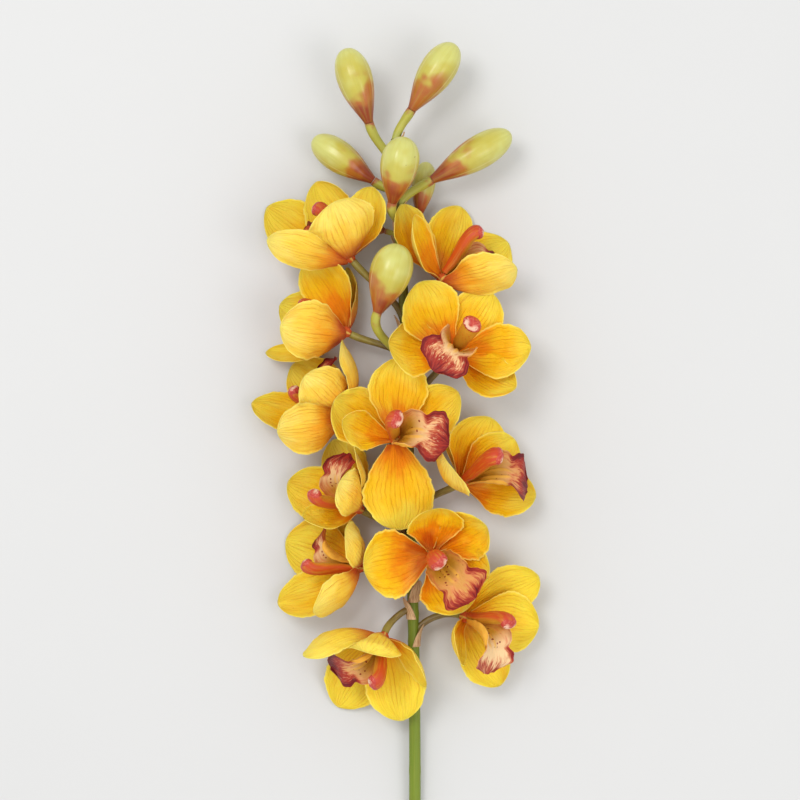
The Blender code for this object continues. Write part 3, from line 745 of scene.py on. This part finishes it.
columnLook = {"back": (0.56, 0.085, 0.012), "belly": (0.62, 0.30, 0.025), "tip": (0.52, 0.055, 0.022),
              "cap": (0.47, 0.045, 0.032), "capEdge": (0.82, 0.52, 0.36), "capSheen": (0.70, 0.18, 0.11)}
columnShape = {
    "path": ((2.4, 9.4), (3.4, 20.0), (6.4, 31.0), (8.4, 41.0), (7.6, 47.0), (5.6, 49.5)),
    "radius": ((0.0, 3.6), (0.22, 5.4), (0.5, 6.5), (0.8, 7.3), (0.93, 6.6), (1.0, 4.2)),
    "sides": 32, "rings": 26, "tall": 0.86, "wide": 1.06, "capRadius": 8.0, "capLength": 1.15, "capSides": 24,
    "capRings": 14, "capTall": 0.66, "capWide": 0.92, "cleft": 0.12, "teeth": 9, "toothDepth": 0.06,
}


def columnMaterial():
    look = columnLook
    made, tree = startMaterial("columnSkin", 0.38, Subsurface_Weight=0.05, Subsurface_Scale=0.002,
                               Specular_IOR_Level=0.2)
    x, t = surfaceSpot(tree)
    belly = band(fromHalf(x), 0.30, 0.12)          # x is 0 on the dorsal side and 0.5 on the belly
    streak = grain(x * 24.0, t * 3.0, pointValue(tree, "tone"))
    back = mix(band(t, 0.4, 1.0), look["back"], look["tip"])
    back = mix(band(streak, 0.45, 0.7, 0.0, 0.45), back, look["belly"])
    spots = band(bodyGrain(tree, 700.0, 1.0), 0.62, 0.68, 0.0, 0.7)
    color = mix(spots * belly, mix(belly, back, look["belly"]), look["back"])
    return finishMaterial(made, color, streak, 0.0003, 0.5)


def capMaterial():
    look = columnLook
    made, tree = startMaterial("antherSkin", 0.34, Subsurface_Weight=0.05, Subsurface_Scale=0.001,
                               Specular_IOR_Level=0.25)
    x, t = surfaceSpot(tree)
    mottleAndSheen = bodyGrain(tree, 700.0)
    # painted sheen: the lighter red capSheen laid over the cap's own red where the noise is high; the same
    # noise also places the edge teeth and sets the bump
    color = mix(band(mottleAndSheen, 0.42, 0.7, 0.0, 0.6), look["cap"], look["capSheen"])
    # whitish only along the lower edge, in uneven teeth
    under = band(fromHalf(x), 0.42, 0.20)
    color = mix(band(t + mottleAndSheen * 0.5, 1.0, 1.1) * band(t, 0.98, 0.90) * under, color, look["capEdge"])
    return finishMaterial(made, color, mottleAndSheen, 0.0003, 0.6)


def makeColumn(name, bloom, number, skins):
    shape = columnShape
    _, dorsal, forward = bloomAxes(bloom)
    size = 0.5 + 0.5 * bloom.get("lip", 1.0)
    hub = Vector(bloom["hub"])
    start = shape["path"][0][1]
    knots = [hub + dorsal * (y * size) + forward * (start + (z - start) * size) for y, z in shape["path"]]

    def line(t):
        at = min(t, 0.9999) * (len(knots) - 1)
        return onCurve(knots, int(at), at - int(at))

    def section(angle, t):
        radius = eased(shape["radius"], t) * size
        tall = radius * cos(angle) * shape["tall"]
        wide = radius * sin(angle) * shape["wide"]
        if cos(angle) < 0:      # the belly is hollowed between two thin wings
            hollow = 0.4 * softRamp(t, 0.5, 0.8) * softRamp(abs(sin(angle)), 0.9, 0.1)
            tall *= 0.55 - 0.35 * cos(angle) * softRamp(t, 0.9, 0.5) - hollow
        return tall, wide

    bm, layers = startMesh()
    tone = number * 0.71
    addLoft(bm, layers, line, section, shape["sides"], shape["rings"], tone, upHint=dorsal)
    # the cap: a small helmet that hangs over the tip, split by a shallow cleft
    radius = shape["capRadius"] * size
    tip = line(0.9) + dorsal * (0.5 * size)
    nose = (forward - dorsal * 0.7).normalized()

    def capLine(t):
        return tip + nose * ((t - 0.45) * shape["capLength"] * radius)

    def capSection(angle, t):
        full = max(1 - abs(2 * t - 0.9) ** 2.6, 0.004) ** 0.5
        cleft = 1 - shape["cleft"] * exp(-(sin(angle) / 0.2) ** 2) * (cos(angle) > 0)
        tooth = 1 + shape["toothDepth"] * sin(angle * shape["teeth"]) * softRamp(t, 0.6, 0.9)
        return (radius * full * cos(angle) * shape["capTall"] * cleft,
                radius * full * sin(angle) * shape["capWide"] * tooth)

    addLoft(bm, layers, capLine, capSection, shape["capSides"], shape["capRings"], tone, 1, dorsal)
    return finishPiece(name.replace("bloom_", "column"), bm, layers, skins, [name + "_column"])


# buds

budLook = {"along": ((0.05, (0.27, 0.036, 0.012)), (0.30, (0.42, 0.12, 0.018)), (0.52, (0.50, 0.43, 0.06)),
                     (0.85, (0.56, 0.55, 0.15))),
           "seam": (0.64, 0.58, 0.22), "shade": (0.40, 0.36, 0.03), "fleck": (0.18, 0.07, 0.02)}
buds = {
    "bud_01": {"base": (-34.0, 590.0, 34.0), "tip": (-52.0, 645.0, 38.0), "radius": 13.4, "leaves": 549},
    "bud_02": {"base": (-1.5, 600.0, 33.0), "tip": (31.0, 648.5, 38.0), "radius": 13.2, "leaves": 572},
    "bud_03": {"base": (-31.0, 547.0, 24.0), "tip": (-76.5, 579.0, 18.0), "radius": 12.4, "leaves": 532},
    "bud_04": {"base": (-16.0, 529.0, 46.0), "tip": (-7.0, 576.0, 62.0), "radius": 14.2, "leaves": 511},
    "bud_05": {"base": (14.0, 547.0, 31.0), "tip": (73.5, 582.0, 28.0), "radius": 12.6, "leaves": 521},
    "bud_06": {"base": (4.0, 521.0, 13.0), "tip": (10.0, 562.0, 13.0), "radius": 9.0, "leaves": 502},
    "bud_07": {"base": (-27.0, 446.5, 50.0), "tip": (-10.5, 496.0, 60.0), "radius": 15.6, "leaves": 400},
    "bud_08": {"base": (-22.0, 509.0, 18.0), "tip": (-40.0, 514.0, 11.0), "radius": 7.0, "leaves": 495},
}
budShape = {"neck": 0.26, "widest": 0.60, "sides": 48, "rings": 48, "bend": 0.06, "groove": 0.035,
            "grooveWidth": 0.05, "ribs": 0.03, "waver": 0.04}


def budMaterial():
    look = budLook
    made, tree = startMaterial("budSkin", 0.33, Subsurface_Weight=0.12, Subsurface_Scale=0.003,
                               Subsurface_Radius=(1.0, 0.7, 0.2), Coat_Weight=0.15, Coat_Roughness=0.3)
    x, t = surfaceSpot(tree)
    color = colorAlong(t + band(bodyGrain(tree, 45.0, 2.0), 0.3, 0.7, -0.16, 0.16), look["along"])
    streak = grain(x * 26.0, t * 2.0, pointValue(tree, "tone"))
    color = mix(band(streak, 0.4, 0.75, 0.0, 0.30), color, look["shade"])
    seam = band(fromHalf(x * 3.0), 0.035, 0.0) * band(t, 0.12, 0.3)
    color = mix(seam * 0.6, color, look["seam"])
    color = mix(band(bodyGrain(tree, 300.0, 1.0), 0.78, 0.82) * 0.5, color, look["fleck"])
    return finishMaterial(made, color, streak + bodyGrain(tree, 160.0) * 0.8, 0.0004, 0.35)


def budLine(bud):
    base, tip = Vector(bud["base"]), Vector(bud["tip"])
    axis = tip - base
    bend = across(upward, axis.normalized()) * (budShape["bend"] * axis.length)
    return lambda t: base + axis * t + bend * sin(pi * t)


def makeBud(name, bud, number, skin):
    shape = budShape

    def section(angle, t):
        if t < shape["widest"]:
            radius = shape["neck"] + (1 - shape["neck"]) * sin(pi / 2 * t / shape["widest"]) ** 1.15
        else:
            radius = max(1 - ((t - shape["widest"]) / (1 - shape["widest"])) ** 2.3, 0.0) ** 0.5 + 0.01
        radius *= bud["radius"]
        offGroove = (angle / tau * 3 + 0.5) % 1.0 - 0.5
        groove = shape["groove"] * exp(-(offGroove / shape["grooveWidth"]) ** 2) * softRamp(t, 0.1, 0.35)
        radius *= 1 - groove + shape["ribs"] * cos(3 * angle) * sin(pi * t)
        radius *= 1 + shape["waver"] * waver(cos(angle) * 1.2 + t * 2, sin(angle) * 1.2, number + 0.5)
        return radius * cos(angle), radius * sin(angle)

    bm, layers = startMesh()
    addLoft(bm, layers, budLine(bud), section, shape["sides"], shape["rings"], number * 0.53, roundEnd=True)
    return finishPiece(name.replace("_", ""), bm, layers, [skin], [name])


# stalk, pedicels and bracts

stalkLook = {"along": ((0.0, (0.19, 0.26, 0.025)), (0.28, (0.145, 0.205, 0.015)), (0.5, (0.12, 0.15, 0.015)),
                       (1.0, (0.17, 0.16, 0.022))),
             "brown": (0.11, 0.055, 0.012), "pale": (0.27, 0.29, 0.045)}
stalkShape = {
    "path": ((0.0, 0.0, 4.3), (0.8, 60.0, 6.0), (0.8, 120.0, 10.0), (0.2, 180.0, 15.0), (-1.0, 240.0, 19.0),
             (-2.6, 300.0, 21.0), (-4.2, 360.0, 22.5), (-5.8, 420.0, 23.5), (-8.2, 464.0, 24.5),
             (-10.4, 500.0, 26.0), (-13.0, 540.0, 28.0), (-14.2, 578.0, 30.0)),
    "radius": 4.6, "topRadius": 3.6,
    "joints": (96, 196, 217, 240, 267, 286, 305, 335, 362, 404, 432, 452, 502),
    "pedicelRadius": 2.6, "budPedicelRadius": 3.3, "budGap": 0.35, "jointHeight": 0.35, "jointWidth": 2.2,
    "sides": 28, "rings": 190,
}


def stalkPoint(distance):
    path = stalkShape["path"]
    for low, high in zip(path, path[1:]):
        if distance <= high[1]:
            break
    share = (distance - low[1]) / (high[1] - low[1])
    low, high = Vector(low), Vector(high)
    radius = stalkShape["radius"] + (stalkShape["topRadius"] - stalkShape["radius"]) * distance / path[-1][1]
    return low.lerp(high, share), (high - low).normalized(), radius


def stalkMaterial():
    look = stalkLook
    made, tree = startMaterial("stalkSkin", 0.45, Subsurface_Weight=0.03, Subsurface_Scale=0.002,
                               Specular_IOR_Level=0.25)
    x, t = surfaceSpot(tree)
    color = colorAlong(t, look["along"])
    streak = grain(x * 22.0, t * 14.0, 1.0, 4.0)
    color = mix(band(streak, 0.42, 0.72, 0.0, 0.4), color, look["pale"])
    cloud = bodyGrain(tree, 60.0)
    color = mix(band(cloud, 0.45, 0.65) * band(t, 0.3, 0.55, 0.05, 0.7), color, look["brown"])
    return finishMaterial(made, color, streak + cloud, 0.0004, 0.5)


pedicelLook = {"bloom": ((0.0, (0.17, 0.16, 0.028)), (0.4, (0.15, 0.095, 0.02)), (1.0, (0.30, 0.24, 0.045))),
               "bud": ((0.0, (0.34, 0.38, 0.06)), (0.5, (0.42, 0.40, 0.05)), (0.82, (0.42, 0.40, 0.05)),
                       (1.0, (0.36, 0.10, 0.035))),
               "streak": (0.42, 0.36, 0.09)}


def pedicelMaterial(kind):
    made, tree = startMaterial(kind + "PedicelSkin", 0.45, Subsurface_Weight=0.06, Subsurface_Scale=0.002)
    x, t = surfaceSpot(tree)
    cloud = bodyGrain(tree, 110.0)
    color = colorAlong(t + band(cloud, 0.3, 0.7, -0.1, 0.1), pedicelLook[kind])
    streak = grain(x * 14.0, t * 5.0, pointValue(tree, "tone"))
    color = mix(band(streak, 0.45, 0.75, 0.0, 0.35), color, pedicelLook["streak"])
    return finishMaterial(made, color, streak + cloud, 0.0004, 0.5)


bractLook = {"pale": (0.62, 0.42, 0.22), "dark": (0.36, 0.17, 0.07)}
# the length of a bract and the angle by which it wraps to each side
bractShape = {"bloom": (17.0, 85.0), "bud": (15.0, 80.0), "cells": 14, "stand": 0.2, "waver": 0.8,
              "base": 0.6, "tip": 0.3}


def bractMaterial():
    made, tree = startMaterial("bractPaper", 0.6)
    x, t = surfaceSpot(tree)
    fibre = grain(x * 16.0, t * 2.5, pointValue(tree, "tone"), 4.0)
    color = mix(band(fibre, 0.4, 0.68), bractLook["pale"], bractLook["dark"])
    return finishMaterial(made, color, fibre, 0.0006, 0.7)


def makeStalk(skin):
    shape = stalkShape
    bm, layers = startMesh()
    points = [Vector(point) for point in shape["path"]]
    top = points[-1].y

    def line(t):
        at = t * top
        i = max(k for k, point in enumerate(points[:-1]) if point.y <= at or k == 0)
        return onCurve(points, i, (at - points[i].y) / (points[i + 1].y - points[i].y))

    def section(angle, t):
        radius = shape["radius"] + (shape["topRadius"] - shape["radius"]) * t
        for joint in shape["joints"]:
            radius += shape["jointHeight"] * exp(-((t * top - joint) / shape["jointWidth"]) ** 2)
        radius *= 1 + 0.02 * cos(7 * angle + 9 * t) + 0.03 * waver(t * 30, cos(angle), 4.2)
        radius *= 1 - 0.10 * softRamp(t, 0.985, 1.0)
        return radius * cos(angle), radius * sin(angle)

    addLoft(bm, layers, line, section, shape["sides"], shape["rings"])
    return finishPiece("stalk", bm, layers, [skin], ["stem"], 40)


def addPedicel(bm, layers, leaves, end, arrive, radius, tone, slotIndex):
    start, up, _ = stalkPoint(leaves)
    reach = (end - start).length
    neck = end - arrive * 3.0
    path = (start, start + up * reach * 0.35, neck - arrive * reach * 0.35, neck)

    def line(t):
        return bezier(*path, t / 0.9) if t < 0.9 else neck.lerp(end, (t - 0.9) / 0.1)

    def section(angle, t):
        wide = radius * eased(((0.0, 1.2), (0.2, 1.0), (0.6, 1.0), (0.85, 1.12), (1.0, 1.08)), t)
        wide *= 1 + 0.07 * cos(3 * angle) * softRamp(t, 0.4, 0.8)      # three ribs on the ovary
        return wide * cos(angle), wide * sin(angle)

    addLoft(bm, layers, line, section, 20, 22, tone=tone, slotIndex=slotIndex)


def makePedicels(skins):
    shape = stalkShape
    bm, layers = startMesh()
    for k, bloom in enumerate(blooms.values()):
        addPedicel(bm, layers, bloom["leaves"], Vector(bloom["hub"]), direction(*bloom["faces"]),
                   shape["pedicelRadius"], k * 0.31, 0)
    for k, bud in enumerate(buds.values()):
        base = Vector(bud["base"])
        arrive = (budLine(bud)(0.1) - base).normalized()
        radius = min(shape["budPedicelRadius"], 0.28 * bud["radius"])
        addPedicel(bm, layers, bud["leaves"], base - arrive * shape["budGap"], arrive, radius, k * 0.43, 1)
    return finishPiece("pedicels", bm, layers, skins, ["stem"], 50)


def makeBracts(skin):
    shape = bractShape
    bm, layers = startMesh()
    homes = [(spec["leaves"], Vector(spec["hub"]), *shape["bloom"]) for spec in blooms.values()]
    homes += [(spec["leaves"], Vector(spec["base"]), *shape["bud"]) for spec in buds.values()]

    def thickness(edge, t):
        return shape["base"] + (shape["tip"] - shape["base"]) * t

    for k, (leaves, end, length, wrap) in enumerate(homes):
        start, up, radius = stalkPoint(leaves - 4)
        out = across(end - start, up)
        side = up.cross(out)

        def place(u, t):
            spread = radians(wrap) * u * ((1 - t) ** 0.7 + 0.03)
            lift = radius * 1.06 + 0.45 + length * shape["stand"] * t * t
            lift += shape["waver"] * waver(u * 2.2, t * 3.0, k + 0.4) * t
            return start + up * (length * t) + (out * cos(spread) + side * sin(spread)) * lift

        addSheet(bm, layers, place, shape["cells"], shape["cells"], thickness, tone=k * 0.29)
    return finishPiece("bracts", bm, layers, [skin], ["stem"])


# everything is made here

petalSkin, lipSkin, budSkin = petalMaterial(), lipMaterial(), budMaterial()
columnSkins = [columnMaterial(), capMaterial()]
pedicelSkins = [pedicelMaterial("bloom"), pedicelMaterial("bud")]
print("materials made")
makeStalk(stalkMaterial())
makePedicels(pedicelSkins)
makeBracts(bractMaterial())
print("stalk, pedicels and bracts made")
for name in reversed(blooms):        # from the bottom up, so that a bloom can rest on one made before it
    number, bloom = int(name[-2:]), blooms[name]
    makePetals(name, bloom, number, petalSkin)
    makeLip(name, bloom, number, lipSkin)
    makeColumn(name, bloom, number, columnSkins)
print("blooms made")
for number, (name, bud) in enumerate(buds.items(), 1):
    makeBud(name, bud, number, budSkin)
print("buds made")


# floor, light and camera

studio = {"floorColor": (0.625, 0.625, 0.62), "worldColor": (1.0, 1.0, 1.0), "worldStrength": 0.90,
          "floorSize": 6.0, "floorGap": 0.0003, "camera": (0.00365, 0.0552, 1.85), "lens": 108.0,
          "lamps": (("keyLamp", (-0.7, 0.7, 1.9), 0.8, 16.0), ("fillLamp", (1.0, -0.4, 1.7), 1.0, 8.5))}


def makeStudio():
    bm = bmesh.new()
    bmesh.ops.create_grid(bm, x_segments=1, y_segments=1, size=studio["floorSize"])
    mesh = bpy.data.meshes.new("floor")
    bm.to_mesh(mesh)
    bm.free()
    floor = placed("floor", mesh, (0, 0, -studio["floorGap"]))
    made, tree = startMaterial("floorPaint", 0.85, Specular_IOR_Level=0.2)
    shade = tuple(channel * 0.985 for channel in studio["floorColor"])
    mesh.materials.append(finishMaterial(made, mix(bodyGrain(tree, 9.0), studio["floorColor"], shade)))

    world = bpy.data.worlds.new("studio")
    world.use_nodes = True
    sky = world.node_tree.nodes["Background"].inputs
    sky["Color"].default_value = (*studio["worldColor"], 1.0)
    sky["Strength"].default_value = studio["worldStrength"]
    scene.world = world
    for name, place, size, power in studio["lamps"]:
        lamp = bpy.data.lights.new(name, "AREA")
        lamp.size = size
        lamp.energy = power
        placed(name, lamp, place).rotation_euler = (-Vector(place)).to_track_quat("-Z", "Y").to_euler()

    camera = placed("camera", bpy.data.cameras.new("camera"), studio["camera"])
    camera.data.lens = studio["lens"]
    camera.data.sensor_width = 36.0
    camera.data.clip_start = 0.05
    scene.camera = camera
    scene.view_settings.view_transform = "Standard"
    print("floor, lamps and camera set")


makeStudio()
